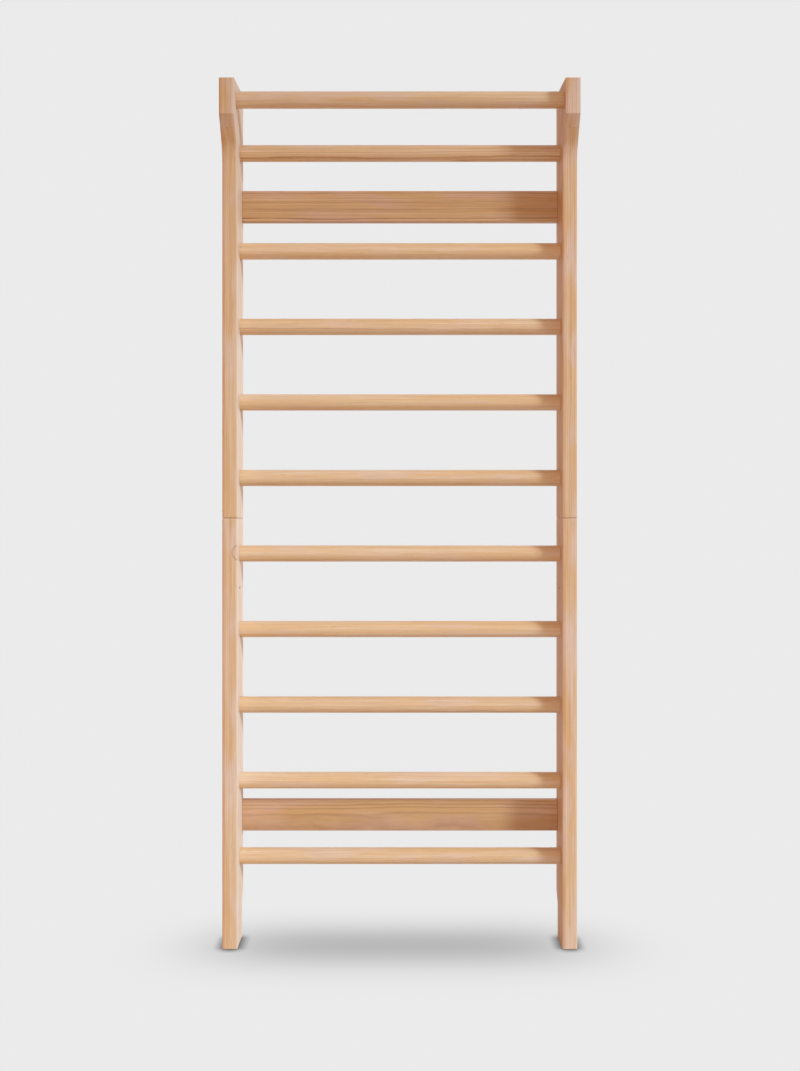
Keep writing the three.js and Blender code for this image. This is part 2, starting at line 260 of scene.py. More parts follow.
def hole_wall(surface, centre, face_x, inwards, diameter, depth, sides, head=None):
    """A round hole in a face at X = face_x: a ring carried down the axis, with an eased rim.

    The ring's radius falls by a quarter circle at the rim, then stays, and a disc closes the bottom. With
    head, the hole is stepped: head gives the wider diameter and its depth. Returns the outermost ring.
    """
    wide, seat = head or (diameter, None)
    ease = arc(HOLE_RIM, math.pi / 2, 0, RIM_STEPS)
    steps = [(wide / 2 + HOLE_RIM + STRIP, 0)]
    steps += [(wide / 2 + HOLE_RIM - across, HOLE_RIM - down) for across, down in ease]
    steps += [(wide / 2, HOLE_RIM + STRIP)]
    if seat is not None:
        steps += [(wide / 2, seat), (diameter / 2, seat)]
    steps += [(diameter / 2, depth)]
    radii, depths = np.array(steps).T
    angles = np.linspace(0, 2 * math.pi, sides, endpoint=False)
    rows = np.empty((len(steps), sides, 3))
    rows[..., 0] = (face_x + inwards * depths)[:, None]
    rows[..., 1] = centre[0] + radii[:, None] * np.cos(angles)
    rows[..., 2] = centre[1] + radii[:, None] * np.sin(angles)
    numbers = surface.grid(rows, flip=inwards > 0)
    surface.disc(numbers[-1], flip=inwards > 0)
    return numbers[0]


def board_surface(corners, low_x, high_x, radius, holes):
    """A board cut to an outline in Y and Z, with rounded edges and round holes in its two faces.

    The edge is a grid: around the outline one way, and across the thickness by the edge profile the other
    way, each point the outline's own point less its inset along the normal. The faces are flat caps.
    holes gives, for the low and the high face, a list of (centre, diameter, depth, sides, head).
    """
    surface = Surface()
    outline, outward, corner_wear = rounded_outline(corners)
    profile = edge_profile((high_x - low_x) / 2, radius)
    rows = np.empty((len(profile), len(outline), 3))
    rows[..., 0] = (low_x + high_x) / 2 + profile[:, :1]
    rows[..., 1:] = outline - profile[:, 1, None, None] * outward
    on_edge = np.ones((len(profile), 1))
    on_edge[[0, -1]] = 0
    wear = np.maximum(profile[:, 2:], corner_wear * on_edge)
    rings = surface.grid(rows, wear=wear.ravel())
    for face, ring, face_x, inwards in (("low", rings[0], low_x, 1), ("high", rings[-1], high_x, -1)):
        inner = [
            hole_wall(surface, centre, face_x, inwards, diameter, depth, sides, head)
            for centre, diameter, depth, sides, head in holes[face]
        ]
        surface.cap([ring, *inner], [1, 2], flip=inwards > 0)
    return surface


def turned(profile, sides, key=None):
    """A turned piece about X: a closed profile of (x, radius) carried round the axis.

    With key, (flat to flat size, number of rows), the first rows follow a hexagon: their radius is half
    the flat to flat size over the cosine of the angle from the nearest flat.
    """
    along, radii = np.array(profile, float).T
    angles = np.linspace(0, 2 * math.pi, sides, endpoint=False)
    reach = np.repeat(radii[:, None], sides, axis=1)
    if key is not None:
        flat, rows = key
        from_flat = (angles + HEX_TURN / 2) % HEX_TURN - HEX_TURN / 2
        reach[:rows] = flat / 2 / np.cos(from_flat)
    rings = np.empty((len(along), sides, 3))
    rings[..., 0] = along[:, None]
    rings[..., 1] = reach * np.cos(angles)
    rings[..., 2] = reach * np.sin(angles)
    surface = Surface()
    numbers = surface.grid(rings)
    surface.disc(numbers[0], flip=True)
    surface.disc(numbers[-1])
    return surface


def hole_in_end(screw_length, end):
    """How deep a screw's hole is in the end of a rung or board that ends at X = end."""
    return SCREW_SINK + screw_length + HOLE_CLEARANCE - (WIDTH / 2 - end)


def rung_profile(length, diameter):
    """A rung's section along X, from the bottom of one screw hole to the bottom of the other."""
    end, full = length / 2, diameter / 2
    bore = SCREW_SHANK / 2 + HOLE_CLEARANCE
    one = [
        (-end + hole_in_end(RUNG_SCREW_LENGTH, end), bore),
        (-end, bore),
        (-end, full - RUNG_END_EASE),
        (-end + RUNG_END_EASE, full),
        (-end + RUNG_END_EASE + STRIP, full),
    ]
    return one + [(-x, radius) for x, radius in one[::-1]]


def screw_surface(shank, head, head_length, length, key, key_depth):
    """A cylinder-head screw about X, its head's face at zero and its tip at the length."""
    rounding = arc(SCREW_HEAD_ROUND, math.pi / 2, 0, RIM_STEPS)
    profile = [(key_depth, key / 2), (0, key / 2)]
    profile += [(SCREW_HEAD_ROUND - up, head / 2 - SCREW_HEAD_ROUND + out) for out, up in rounding]
    profile += [
        (SCREW_HEAD_ROUND + STRIP, head / 2),
        (head_length, head / 2),
        (head_length, shank / 2),
        (length - SCREW_TIP, shank / 2),
        (length, shank / 2 * SCREW_TIP_SHARE),
    ]
    return turned(profile, SMALL_SIDES, (key, KEY_ROWS))


# Materials

# Pine grain: how long along the grain, how wide across the rings and how broad along them the marks of each
# kind are, in millimetres, then the noise's detail and roughness. Real fibres and resin ducts are about a
# third as wide as drawn here, too fine to show.
GRAIN = {
    "bend": (900, 170, 170, 2.0, 0.4),
    "wobble": (120, 24, 60, 2.0, 0.5),
    "fade": (230, 11, 40, 2.0, 0.5),
    "streak": (420, 8, 40, 2.0, 0.6),
    "drift": (150, 30, 60, 1.5, 0.5),
    "fibre": (60, 2.2, 4, 3.0, 0.65),
    "resin": (22, 1.5, 2, 0.0, 0.5),
}
# What each noise is worth where its mark starts and where it ends: (noise from, noise to, worth from, to)
MARK_RANGE = {
    "strong": (0.0, 1.0, 0.4, 1.0),
    "faded": (0.3, 0.6, 0.45, 1.0),
    "rosy": (0.36, 0.64, -0.8, 0.8),
    "streaked": (0.4, 0.7, 0.0, 0.6),
    "fibres": (0.3, 0.7, 0.93, 1.06),
    "ducts": (0.78, 0.86, 0.0, 0.35),
    "lamella": (0.0, 1.0, 0.94, 1.04),
    "ends": (0.45, 1.0, 0.0, 1.0),
}

# Between these two values lies most of a noise
NOISE_SPREAD = (0.3, 0.7)

# Rings: how far they bend, in millimetres, how wide a group of alike rings is, how many rings it and the
# wobble shift them by, and how dark a ring is from its start to its end
BEND = 16
RING_GROUP = 13
RING_GROUP_SHIFT = 2.2
WOBBLE_SHIFT = 0.45
RING_LINE = ((0, 0.35), (0.07, 0.05), (0.5, 0.02), (0.78, 0.35), (0.93, 1), (1, 0.5))

# Heartwood and sapwood: the distances from the pith between which each gives way, its strength at both, and
# how its tint is laid on. On the stiles they also paint light: the right inner face redder and darker as
# painted shade, the left inner face paler as a painted sheen
WOOD_ZONES_AND_PAINTED_LIGHT = {
    "heart_and_painted_shade": ((118, 128), (1.0, 0.0), "MULTIPLY"),
    "sap_and_painted_sheen": ((147, 155), (0.0, 0.45), "MIX"),
}

# Lamellae: their width, where the first starts, how far apart in the log they lay along the grain, away
# from the pith and sideways, and the glue line between them
LAMELLA_WIDTH = 60
LAMELLA_START = -69
LAMELLA_SHIFT = (26000, 8, 30)
GLUE_LINE = 0.5
GLUE_STRENGTH = 0.45
RANDOM_MIDDLE = (0.5, 0.5, 0.5)

# Knots: each one's middle and radius, then how wide and how strong the rim shows
KNOTS = ((-405.6, -60, 1009, 36.4),)
KNOT_LINE = 2.2
KNOT_STRENGTH = 0.55

# Lacquer: turned wood is sanded finer and shines more. Rubbed edges are paler and duller, and ring lines
# are smoother and stand out
LACQUER_IOR = 1.5
LACQUER_SHINE = {"planed": 0.3, "turned": 0.5}
GLOSS_SPREAD = (-0.04, 0.05)
LINE_GLOSS = -0.08
RUBBED_PALE = 0.4
RUBBED_DULL = 0.15
LINE_RELIEF = 0.6
GRAIN_BUMP = 0.35
GRAIN_DEPTH = 0.25

# Steels: the size of their patches in millimetres, and the tones and roughnesses that these drift between
ZINC = {"patch": 2, "tones": ("#A9AEB2", "#D2D5D6"), "roughness": (0.26, 0.42)}
BROWNED = {"patch": 1, "tones": ("#5C3022", "#784234"), "roughness": (0.6, 0.4)}

# Beech: the flecks' size across and along the dowel and how deep they are, in millimetres
BEECH_TONES = ("#B98F69", "#E2BF98")
BEECH_ROUGHNESS = 0.65
BEECH_FLECK = (0.5, 0.5, 3)
BEECH_DETAIL = 2.0
BEECH_BUMP = 0.3
BEECH_DEPTH = 0.1


def linear(hex_colour):
    """The scene's linear colour of an sRGB hex value, by the standard curve."""
    shares = [int(hex_colour[i:i + 2], 16) / 255 for i in (1, 3, 5)]
    straight = [s / 12.92 if s <= 0.04045 else ((s + 0.055) / 1.055) ** 2.4 for s in shares]
    return (*straight, 1)


def add(tree, kind, inputs=(), stops=(), **settings):
    """Adds a node with its settings and its links.

    inputs gives sockets in use, by name or in their order, a value, another node's output, or another
    node, whose first output in use is taken. stops are a ramp's (place, colour) pairs.
    """
    made = tree.nodes.new(kind)
    for name, value in settings.items():
        setattr(made, name, value)
    for place, _ in stops[1:-1]:
        made.color_ramp.elements.new(place)
    for element, (place, colour) in zip(made.color_ramp.elements if stops else (), stops):
        element.position = place
        element.color = colour
    live = [socket for socket in made.inputs if socket.enabled]
    pairs = inputs.items() if isinstance(inputs, dict) else enumerate(inputs)
    for key, value in pairs:
        socket = live[key] if isinstance(key, int) else next(each for each in live if each.name == key)
        if isinstance(value, bpy.types.Node):
            value = next(output for output in value.outputs if output.enabled)
        if isinstance(value, bpy.types.NodeSocket):
            tree.links.new(value, socket)
        else:
            socket.default_value = value
    return made


def new_material(name, **settings):
    """A material with a bare Principled shader, and its node tree and shader."""
    material = bpy.data.materials.new(name)
    material.use_nodes = True
    tree = material.node_tree
    shader = tree.nodes["Principled BSDF"]
    for socket, value in settings.items():
        shader.inputs[socket.replace("_", " ")].default_value = value
    return material, tree, shader


def pine(name, along, ring_width, colours, roughness, surface="planed", glued=False, knots=()):
    """Planed pine under clear satin lacquer, coloured as a solid, so that a face shows how it cuts the log.

    The ring number is the distance from the pith, bent by slow noise, over the ring width. A ring is pale
    at its start and dark at its end, and its line is as strong as the ring's own random number says. along
    is the grain's axis, where faces show darker end grain. Glued wood is in lamellae, each from its own
    place in the log, redder where it is heartwood, near the pith, and paler where it is sapwood. On the
    stiles this also paints light: the right inner face redder and darker as painted shade, the left one
    paler as a painted sheen.
    """
    material, tree, shader = new_material(name, IOR=LACQUER_IOR, Specular_IOR_Level=LACQUER_SHINE[surface])
    log = add(tree, "ShaderNodeAttribute", attribute_name="log").outputs["Vector"]
    timber = add(tree, "ShaderNodeAttribute", attribute_name="timber").outputs["Vector"]
    lightness, rose_share, line_share = add(tree, "ShaderNodeSeparateXYZ", [timber]).outputs
    wear = add(tree, "ShaderNodeAttribute", attribute_name="wear").outputs["Fac"]
    place = add(tree, "ShaderNodeTexCoord").outputs["Object"]

    # A lamella's own middle lies straight out from its pith
    if glued:
        depth = add(tree, "ShaderNodeSeparateXYZ", [place]).outputs["Y"]
        counted = add(tree, "ShaderNodeMath",
                      [depth, 1 / (LAMELLA_WIDTH * MM), -LAMELLA_START / LAMELLA_WIDTH],
                      operation="MULTIPLY_ADD")
        number = add(tree, "ShaderNodeMath", [counted], operation="FLOOR")
        share = add(tree, "ShaderNodeMath", [counted], operation="FRACT")
        sideways = add(tree, "ShaderNodeMath", [share, LAMELLA_WIDTH * MM, -LAMELLA_WIDTH * MM / 2],
                       operation="MULTIPLY_ADD")
        along_grain, away, _ = add(tree, "ShaderNodeSeparateXYZ", [log]).outputs
        own_place = add(tree, "ShaderNodeCombineXYZ", [along_grain, away, sideways])
        own = add(tree, "ShaderNodeTexWhiteNoise", [number], noise_dimensions="1D")
        own_shift = add(tree, "ShaderNodeVectorMath", [own.outputs["Color"], RANDOM_MIDDLE],
                        operation="SUBTRACT")
        log = add(tree, "ShaderNodeVectorMath",
                  [own_shift, tuple(reach * MM for reach in LAMELLA_SHIFT), own_place],
                  operation="MULTIPLY_ADD").outputs["Vector"]

    # Marks lie along the grain and along the rings: they are laid out by the distance from the pith
    along_grain, _, sideways = add(tree, "ShaderNodeSeparateXYZ", [log]).outputs
    across = add(tree, "ShaderNodeVectorMath", [log, (0, 1, 1)], operation="MULTIPLY")
    from_pith = add(tree, "ShaderNodeVectorMath", [across], operation="LENGTH")
    ringwise = add(tree, "ShaderNodeCombineXYZ", [along_grain, from_pith, sideways])
    marks = {}
    for mark, (length, width, breadth, detail, gain) in GRAIN.items():
        spread = tuple(1 / (size * MM) for size in (length, width, breadth))
        laid = add(tree, "ShaderNodeVectorMath", [ringwise, spread], operation="MULTIPLY")
        marks[mark] = add(tree, "ShaderNodeTexNoise",
                          {"Vector": laid, "Scale": 1.0, "Detail": detail, "Roughness": gain})

    # Rings
    radius = add(tree, "ShaderNodeMath", [marks["bend"], BEND * MM, from_pith], operation="MULTIPLY_ADD")
    group = add(tree, "ShaderNodeTexNoise", {"W": radius, "Scale": 1 / (RING_GROUP * MM), "Detail": 1.0},
                noise_dimensions="1D")
    waves = add(tree, "ShaderNodeMath", [marks["wobble"], WOBBLE_SHIFT], operation="MULTIPLY")
    uneven = add(tree, "ShaderNodeMath", [group, RING_GROUP_SHIFT, waves], operation="MULTIPLY_ADD")
    rings = add(tree, "ShaderNodeMath", [radius, 1 / (ring_width * MM), uneven], operation="MULTIPLY_ADD")
    within = add(tree, "ShaderNodeMath", [rings], operation="FRACT")
    ring = add(tree, "ShaderNodeMath", [rings], operation="FLOOR")
    dark = add(tree, "ShaderNodeValToRGB", [within],
               stops=[(spot, (share, share, share, 1)) for spot, share in RING_LINE])
    chance = add(tree, "ShaderNodeTexWhiteNoise", [ring], noise_dimensions="1D")
    strong = add(tree, "ShaderNodeMapRange", [chance, *MARK_RANGE["strong"]])
    faded = add(tree, "ShaderNodeMapRange", [marks["fade"], *MARK_RANGE["faded"]])
    shown = add(tree, "ShaderNodeMath", [strong, faded], operation="MULTIPLY")
    shown = add(tree, "ShaderNodeMath", [shown, line_share], operation="MULTIPLY")
    line = add(tree, "ShaderNodeMath", [dark, shown], operation="MULTIPLY")

    # Colour
    rosy = add(tree, "ShaderNodeMapRange", [marks["drift"], *MARK_RANGE["rosy"]])
    rosy = add(tree, "ShaderNodeMath", [rosy, rose_share], operation="ADD", use_clamp=True)
    colour = add(tree, "ShaderNodeMix",
                 [rosy, linear(colours["honey"]), linear(colours["rose"])], data_type="RGBA")
    streaked = add(tree, "ShaderNodeMapRange", [marks["streak"], *MARK_RANGE["streaked"]])
    colour = add(tree, "ShaderNodeMix", [streaked, colour, linear(colours["pale"])], data_type="RGBA")
    colour = add(tree, "ShaderNodeMix", [line, colour, linear(colours["late"])], data_type="RGBA")
    fibres = add(tree, "ShaderNodeMapRange", [marks["fibre"], *MARK_RANGE["fibres"]])
    shade = add(tree, "ShaderNodeMath", [fibres, lightness], operation="MULTIPLY")
    colour = add(tree, "ShaderNodeMix", [1.0, colour, shade], data_type="RGBA", blend_type="MULTIPLY")
    ducts = add(tree, "ShaderNodeMapRange", [marks["resin"], *MARK_RANGE["ducts"]])
    colour = add(tree, "ShaderNodeMix", [ducts, colour, linear(colours["resin"])], data_type="RGBA")

    # Heartwood is redder and sapwood paler, which on the stiles' inner faces is also painted shade on the
    # right and a painted sheen on the left; each lamella has its own tone, beside a thin glue line
    if glued:
        for tint, ((start, end), strengths, blend) in WOOD_ZONES_AND_PAINTED_LIGHT.items():
            zone = add(tree, "ShaderNodeMapRange", [from_pith, start * MM, end * MM, *strengths],
                       interpolation_type="SMOOTHSTEP")
            colour = add(tree, "ShaderNodeMix", [zone, colour, linear(colours[tint])], data_type="RGBA",
                         blend_type=blend)
        seam = add(tree, "ShaderNodeMapRange",
                   [share, 0.0, GLUE_LINE / LAMELLA_WIDTH, GLUE_STRENGTH, 0.0])
        colour = add(tree, "ShaderNodeMix", [seam, colour, linear(colours["resin"])], data_type="RGBA")
        tone = add(tree, "ShaderNodeMapRange", [own, *MARK_RANGE["lamella"]])
        colour = add(tree, "ShaderNodeMix", [1.0, colour, tone], data_type="RGBA", blend_type="MULTIPLY")

    # A knot cut near its rim shows as a soft dark arc
    for x, y, z, reach in knots:
        away = add(tree, "ShaderNodeVectorMath", [place, (x * MM, y * MM, z * MM)], operation="DISTANCE")
        off = add(tree, "ShaderNodeMath", [away, reach * MM], operation="SUBTRACT")
        off = add(tree, "ShaderNodeMath", [off], operation="ABSOLUTE")
        rim = add(tree, "ShaderNodeMapRange", [off, 0.0, KNOT_LINE * MM, KNOT_STRENGTH, 0.0],
                  interpolation_type="SMOOTHSTEP")
        rim = add(tree, "ShaderNodeMath", [rim, faded], operation="MULTIPLY")
        colour = add(tree, "ShaderNodeMix", [rim, colour, linear(colours["knot"])], data_type="RGBA")

    # End grain drinks more lacquer and is darker; rounded edges are rubbed paler
    facing = add(tree, "ShaderNodeNewGeometry").outputs["Normal"]
    ends = add(tree, "ShaderNodeVectorMath", [facing, along], operation="DOT_PRODUCT").outputs["Value"]
    ends = add(tree, "ShaderNodeMath", [ends], operation="ABSOLUTE")
    ends = add(tree, "ShaderNodeMapRange", [ends, *MARK_RANGE["ends"]])
    colour = add(tree, "ShaderNodeMix", [ends, colour, linear(colours["end"])], data_type="RGBA",
                 blend_type="MULTIPLY")
    rubbed = add(tree, "ShaderNodeMath", [wear, faded], operation="MULTIPLY")
    rubbed = add(tree, "ShaderNodeMath", [rubbed, RUBBED_PALE], operation="MULTIPLY")
    colour = add(tree, "ShaderNodeMix", [rubbed, colour, linear(colours["pale"])], data_type="RGBA")
    tree.links.new(colour.outputs["Result"], shader.inputs["Base Color"])

    # Satin lacquer, a little rougher where it is rubbed and smoother on the hard ring lines
    glosses = [roughness + change for change in GLOSS_SPREAD]
    gloss = add(tree, "ShaderNodeMapRange", [marks["fibre"], *NOISE_SPREAD, *glosses])
    gloss = add(tree, "ShaderNodeMath", [line, LINE_GLOSS, gloss], operation="MULTIPLY_ADD")
    gloss = add(tree, "ShaderNodeMath", [rubbed, RUBBED_DULL, gloss], operation="MULTIPLY_ADD")
    tree.links.new(gloss.outputs["Value"], shader.inputs["Roughness"])
    relief = add(tree, "ShaderNodeMath", [line, LINE_RELIEF, marks["fibre"]], operation="MULTIPLY_ADD")
    bump = add(tree, "ShaderNodeBump",
               {"Height": relief, "Strength": GRAIN_BUMP, "Distance": GRAIN_DEPTH * MM})
    tree.links.new(bump.outputs["Normal"], shader.inputs["Normal"])
    return material


def steel(name, patch, tones, roughness):
    """A metal whose tone and roughness drift together over small patches, from one value to the other."""
    material, tree, shader = new_material(name, Metallic=1.0)
    place = add(tree, "ShaderNodeTexCoord").outputs["Object"]
    patches = add(tree, "ShaderNodeTexNoise", {"Vector": place, "Scale": 1 / (patch * MM)})
    tone = add(tree, "ShaderNodeMix", [patches, *map(linear, tones)], data_type="RGBA")
    tree.links.new(tone.outputs["Result"], shader.inputs["Base Color"])
    dulled = add(tree, "ShaderNodeMapRange", [patches, *NOISE_SPREAD, *roughness])
    tree.links.new(dulled.outputs["Result"], shader.inputs["Roughness"])
    return material


def bare_beech(name, tones):
    """Bare turned wood whose tone follows flecks that are laid out along the dowel, with a faint relief."""
    material, tree, shader = new_material(name, Roughness=BEECH_ROUGHNESS)
    place = add(tree, "ShaderNodeTexCoord").outputs["Object"]
    spread = tuple(1 / (size * MM) for size in BEECH_FLECK)
    laid = add(tree, "ShaderNodeVectorMath", [place, spread], operation="MULTIPLY")
    flecks = add(tree, "ShaderNodeTexNoise", {"Vector": laid, "Scale": 1.0, "Detail": BEECH_DETAIL})
    tan = add(tree, "ShaderNodeMix", [flecks, *map(linear, tones)], data_type="RGBA")
    tree.links.new(tan.outputs["Result"], shader.inputs["Base Color"])
    bump = add(tree, "ShaderNodeBump",
               {"Height": flecks, "Strength": BEECH_BUMP, "Distance": BEECH_DEPTH * MM})
    tree.links.new(bump.outputs["Normal"], shader.inputs["Normal"])
    return material


ALONG_X, ALONG_Z = (1, 0, 0), (0, 0, 1)
RING_WIDTH = {"stiles": 5.6, "rungs": 5.8, "boards": 5.6}
SATIN = {"planed": 0.55, "turned": 0.48}
PINE = {
    "pale": "#EFD8B8", "honey": "#E2B781", "rose": "#E7C6AA", "late": "#B2743B", "heart_and_painted_shade": "#F2DAC8",
    "sap_and_painted_sheen": "#F5E8D6", "knot": "#B87038", "resin": "#8A5A34", "end": "#EBD0B0",
}
RUNG_PINE = PINE | {"honey": "#E6BF8C", "late": "#B4743A"}
BOARD_PINE = PINE | {"pale": "#E0BC92", "honey": "#D5A871", "rose": "#D8AE8A", "late": "#905229"}

# The stiles are glued up and the palest, with soft upright stripes that drift from straw to rose
stile_pine = pine("lacquered_pine_stiles", ALONG_Z, RING_WIDTH["stiles"], PINE, SATIN["planed"],
                  glued=True, knots=KNOTS)

# The rungs are turned and yellower, with long fine stripes and a soft highlight along them
rung_pine = pine("lacquered_pine_rungs", ALONG_X, RING_WIDTH["rungs"], RUNG_PINE, SATIN["turned"],
                 surface="turned")

# The boards are single planks, browner, with the strongest lines
board_pine = pine("lacquered_pine_boards", ALONG_X, RING_WIDTH["boards"], BOARD_PINE, SATIN["planed"])

# Zinc-plated steel, bright passivated: a cool bright metal with faint cloudy patches
zinc = steel("zinc_plated_steel", **ZINC)

# Browned steel: a dull dark red-brown metal, darker and duller in small patches
browned = steel("browned_steel", **BROWNED)

# Beech, turned and left bare: an even pinkish tan with short darker flecks along the dowel
beech = bare_beech("turned_beech_dowel", BEECH_TONES)


# Pieces


def centre_of(node):
    """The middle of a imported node's box, in millimetres."""
    low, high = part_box(node)
    return (np.array(low) + np.array(high)) / 2 / MM


def numbered(stem):
    """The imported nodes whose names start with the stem."""
    return sorted(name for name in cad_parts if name.startswith(stem))


def board_of(along, middle, turn, reach, start, shares):
    """What finished needs of a board: its place in the log, and its shares.

    The distance along the grain is the coordinate on that axis plus a start. Across it, the piece's middle
    lies straight out from the pith, at a reach, in the direction that the turn gives, and the distances
    away from the pith and sideways are the offsets from the middle turned to that direction.
    """
    others = [axis for axis in range(3) if axis != along]
    outwards = np.array([math.cos(turn), math.sin(turn)])
    sideways = np.array([-outwards[1], outwards[0]])

    def log(points):
        offset = points[:, others] - middle
        return np.column_stack([points[:, along] + start, offset @ outwards + reach, offset @ sideways])

    return log, shares


rungs = numbered("rung_0") + numbered("rung_1")
rung_diameter = (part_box("rung_01")[1].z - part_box("rung_01")[0].z) / MM
screw_bore = SCREW_SHANK + 2 * HOLE_CLEARANCE
screw_seat = (SCREW_HEAD + 2 * HOLE_CLEARANCE, SCREW_SINK + SCREW_HEAD_LENGTH + HOLE_CLEARANCE)
lock_bore = LOCK_SCREW_SHANK + 2 * HOLE_CLEARANCE
lock_depth = LOCK_SCREW_LENGTH - LOCK_SCREW_STAND + HOLE_CLEARANCE
lock_head_depth = LOCK_SCREW_HEAD_LENGTH - LOCK_SCREW_STAND + HOLE_CLEARANCE
lock_seat = (LOCK_SCREW_HEAD + 2 * HOLE_CLEARANCE, lock_head_depth)


def stile_holes(side_name, side, low_z, high_z):
    """Holes of one stile half: rung sockets and the lock screw in the inner face, screws in the outer."""
    socket = (rung_diameter + 2 * SOCKET_CLEARANCE, SOCKET_DEPTH, ROUND_SIDES, None)
    lock = (lock_bore, lock_depth, SMALL_SIDES, lock_seat)
    screw = (screw_bore, STILE_THICKNESS - SOCKET_DEPTH - HOLE_CLEARANCE, SMALL_SIDES, screw_seat)
    inner = [(node, socket) for node in rungs]
    inner += [(f"joint_lock_screw_{side_name}", lock)]
    outer = numbered(f"rung_screw_{side_name}") + numbered(f"board_screw_{side_name}")
    outer = [(node, screw) for node in outer]
    inner_face, outer_face = ("high", "low") if side < 0 else ("low", "high")
    found = {}
    for face, listed in ((inner_face, inner), (outer_face, outer)):
        places = [(centre_of(node)[1:], hole) for node, hole in listed]
        found[face] = [(place, *hole) for place, hole in places if low_z < place[1] < high_z]
    return found


STILE_OUTLINES = {
    "upper": [
        (FRONT_Y, JOINT_HEIGHT + JOINT_GAP / 2, JOINT_CORNER_RADIUS),
        (BACK_Y, JOINT_HEIGHT + JOINT_GAP / 2, JOINT_CORNER_RADIUS),
        (BACK_Y, HEIGHT, CORNER_RADIUS),
        (NOSE_Y, FRONT_TOP, CORNER_RADIUS),
        (NOSE_Y, NOSE_FOOT, CORNER_RADIUS),
        (FRONT_Y, NOSE_FOOT - NOSE_SLOPE_HEIGHT, NECK_RADIUS),
    ],
    "lower": [
        (FRONT_Y, 0, CORNER_RADIUS),
        (BACK_Y - SKIRTING_DEPTH, 0, CORNER_RADIUS),
        (BACK_Y - SKIRTING_DEPTH, SKIRTING_HEIGHT, SKIRTING_RADIUS),
        (BACK_Y, SKIRTING_HEIGHT + SKIRTING_SLOPE_HEIGHT, SKIRTING_RADIUS),
        (BACK_Y, JOINT_HEIGHT - JOINT_GAP / 2, JOINT_CORNER_RADIUS),
        (FRONT_Y, JOINT_HEIGHT - JOINT_GAP / 2, JOINT_CORNER_RADIUS),
    ],
}

# How each piece lay in its log: the turn from pith to piece and the reach, and its shares of lightness,
# rose and line strength. The reach puts sapwood on the left stile's inner face, paler as a painted sheen,
# and heartwood on the right one's, redder and darker as painted shade. The top two rungs are darker as
# painted shade, and one rung is more striped than the rest.
LOG_LENGTH = 4000
STILE_REACH = 138
STILE_SHARES = {
    "left": {"upper": (1.0, 0.0, 0.4), "lower": (1.01, 0.3, 0.45)},
    "right": {"upper": (1.01, 0.25, 0.8), "lower": (1.02, 0.45, 0.45)},
}
RUNG_TURN = (math.radians(60), math.radians(120))
RUNG_REACH = (135, 190)
RUNG_SHARES = ((1.02, 1.07), (-0.6, -0.1), (0.3, 0.65))
STRIPED_RUNGS = {"rung_02": 2.2}
# The top two rungs are darkened: painted shade, where less light reaches the top of the frame
PAINTED_SHADE_RUNGS = {"rung_01": 0.92, "rung_02": 0.97}
BOARD_TURN = {"upper": math.radians(-60), "lower": math.radians(13)}
BOARD_REACH = {"upper": 170, "lower": 190}
BOARD_SHARES = {"upper": (1.01, 0.2, 1.0), "lower": (1.0, 0.3, 0.9)}
GRAIN_SEED = 7

random = np.random.default_rng(GRAIN_SEED)

for side_name, side in SIDES.items():
    for level, corners in STILE_OUTLINES.items():
        heights = [corner[1] for corner in corners]
        low_x, high_x = sorted([side * INNER_X, side * WIDTH / 2])
        holes = stile_holes(side_name, side, min(heights), max(heights))
        surface = board_surface(corners, low_x, high_x, EDGE_RADIUS, holes)
        start = random.uniform(0, LOG_LENGTH)
        middle = ((low_x + high_x) / 2, 0)
        timber = board_of(AXIS_Z, middle, 0, STILE_REACH, start, STILE_SHARES[side_name][level])
        finished(surface, f"pine_stile_{side_name}_{level}", stile_pine,
                 f"stile_{side_name}_{level}", WOOD_SMOOTH_BELOW, timber)

rung_length = WIDTH - 2 * STILE_THICKNESS + 2 * (SOCKET_DEPTH - SOCKET_CLEARANCE)

for node in rungs:
    surface = turned(rung_profile(rung_length, rung_diameter), ROUND_SIDES)
    place = centre_of(node)
    surface.points += place
    turn = random.uniform(*RUNG_TURN)
    reach = random.uniform(*RUNG_REACH)
    start = random.uniform(0, LOG_LENGTH)
    shares = [random.uniform(*span) for span in RUNG_SHARES]
    shares[0] *= PAINTED_SHADE_RUNGS.get(node, 1)
    shares[2] *= STRIPED_RUNGS.get(node, 1)
    finished(surface, f"pine_{node}", rung_pine, node, WOOD_SMOOTH_BELOW,
             board_of(AXIS_X, place[1:], turn, reach, start, shares))

for level in ("upper", "lower"):
    node = f"wall_board_{level}"
    low, high = (np.array(corner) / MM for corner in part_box(node))
    corners = [(low[1], low[2]), (high[1], low[2]), (high[1], high[2]), (low[1], high[2])]
    corners = [(y, z, BOARD_EDGE_RADIUS) for y, z in corners]
    middle = (low + high) / 2
    hole = (screw_bore, hole_in_end(BOARD_SCREW_LENGTH, high[0]), SMALL_SIDES, None)
    rises = (-BOARD_SCREW_SPACING / 2, BOARD_SCREW_SPACING / 2)
    ends = [((middle[1], middle[2] + rise), *hole) for rise in rises]
    surface = board_surface(corners, low[0], high[0], BOARD_END_EASE, {"low": ends, "high": ends})
    start = random.uniform(0, LOG_LENGTH)
    timber = board_of(AXIS_X, middle[1:], BOARD_TURN[level], BOARD_REACH[level], start,
                      BOARD_SHARES[level])
    finished(surface, f"pine_{node}", board_pine, node, WOOD_SMOOTH_BELOW, timber)

